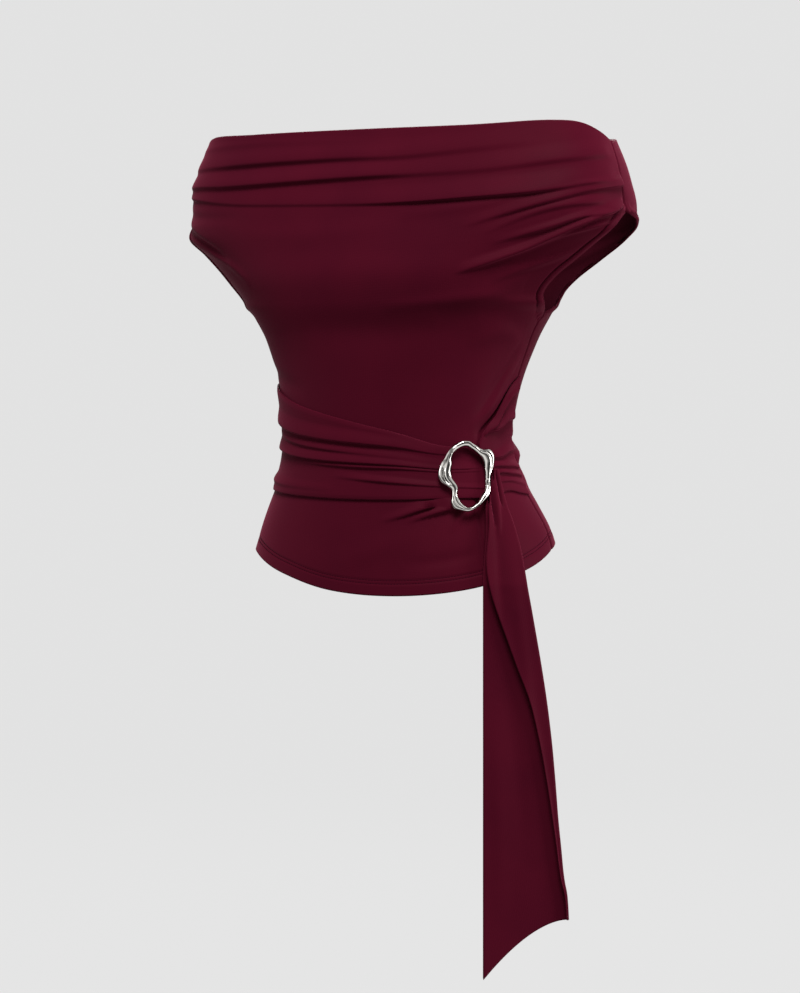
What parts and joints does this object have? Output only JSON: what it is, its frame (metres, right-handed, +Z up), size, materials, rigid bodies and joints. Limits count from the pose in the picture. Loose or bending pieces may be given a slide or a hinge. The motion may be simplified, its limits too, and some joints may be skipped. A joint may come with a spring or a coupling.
{
  "type": "off-the-shoulder top",
  "caption": "Fitted off-the-shoulder top with a pleated neckline, cap sleeves, a gathered waist sash, a ring buckle and a long hanging tail.",
  "frame": {"origin": "midway between the wearer's upper arms, level with the middle height of the two shoulder seams", "axes": "+Z up, -Y out of the front, +X to the wearer's left"},
  "size_m": [0.4616, 0.2216, 0.8129],
  "materials": {
    "jersey": "burgundy stretch jersey with a soft sheen",
    "ring_metal": "polished silver-coloured metal"
  },
  "bodies": {
    "root": {"front_panel": "jersey", "back_panel": "jersey", "sash_right": "jersey", "sash_left": "jersey", "sash_tail": "jersey", "ring_buckle": "ring_metal"}
  },
  "joints": []
}
